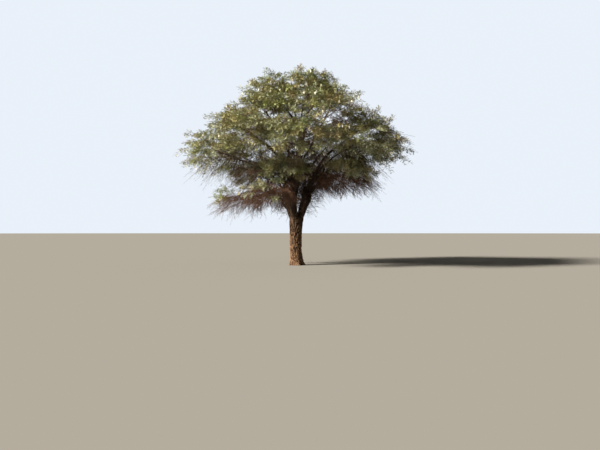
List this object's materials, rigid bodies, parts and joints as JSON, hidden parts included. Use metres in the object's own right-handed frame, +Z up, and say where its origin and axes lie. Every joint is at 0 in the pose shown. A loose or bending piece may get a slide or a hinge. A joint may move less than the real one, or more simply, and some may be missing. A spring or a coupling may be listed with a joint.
{
  "type": "acacia tree",
  "caption": "Spreading savanna tree with a short thick trunk, forked boughs and flat layered pads of fine foliage over bare hanging twigs.",
  "frame": {"origin": "middle of the flat cut under the trunk, at ground level", "axes": "+Z up, +X to the right of the tree as pictured, -Y to its front"},
  "size_m": [11.5518, 11.4959, 9.0723],
  "materials": {
    "bark": "rough, deeply furrowed grey-brown bark",
    "foliage": "matt grey-green feathery leaves",
    "dry_twigs": "matt reddish-brown dry twigs"
  },
  "bodies": {
    "root": {"trunk": "bark", "bough_shoulder_1": "bark", "foliage_shoulder_1": "foliage", "bough_shoulder_2": "bark", "foliage_shoulder_2": "foliage", "bough_shoulder_3": "bark", "foliage_shoulder_3": "foliage", "bough_shoulder_4": "bark", "foliage_shoulder_4": "foliage", "bough_shoulder_5": "bark", "foliage_shoulder_5": "foliage", "bough_shoulder_6": "bark", "foliage_shoulder_6": "foliage", "bough_top_1": "bark", "foliage_top_1": "foliage", "bough_top_2": "bark", "foliage_top_2": "foliage", "bough_top_3": "bark", "foliage_top_3": "foliage", "bough_top_4": "bark", "foliage_top_4": "foliage", "bough_eaves_1": "bark", "foliage_eaves_1": "foliage", "bough_eaves_2": "bark", "foliage_eaves_2": "foliage", "bough_eaves_3": "bark", "foliage_eaves_3": "foliage", "bough_eaves_4": "bark", "foliage_eaves_4": "foliage", "bough_eaves_5": "bark", "foliage_eaves_5": "foliage", "bough_eaves_6": "bark", "foliage_eaves_6": "foliage", "bough_eaves_7": "bark", "foliage_eaves_7": "foliage", "bough_eaves_8": "bark", "foliage_eaves_8": "foliage", "bough_skirt_1": "bark", "foliage_skirt_1": "foliage", "bough_skirt_2": "bark", "foliage_skirt_2": "foliage", "bough_skirt_3": "bark", "foliage_skirt_3": "foliage", "bough_skirt_4": "bark", "foliage_skirt_4": "foliage", "bough_skirt_5": "bark", "foliage_skirt_5": "foliage", "bough_skirt_6": "bark", "foliage_skirt_6": "foliage", "bough_inner_1": "bark", "foliage_inner_1": "foliage", "bough_inner_2": "bark", "foliage_inner_2": "foliage", "bough_inner_3": "bark", "foliage_inner_3": "foliage", "bough_inner_4": "bark", "foliage_inner_4": "foliage", "bough_bare_1": "bark", "twigs_bare_1": "dry_twigs"}
  },
  "joints": []
}
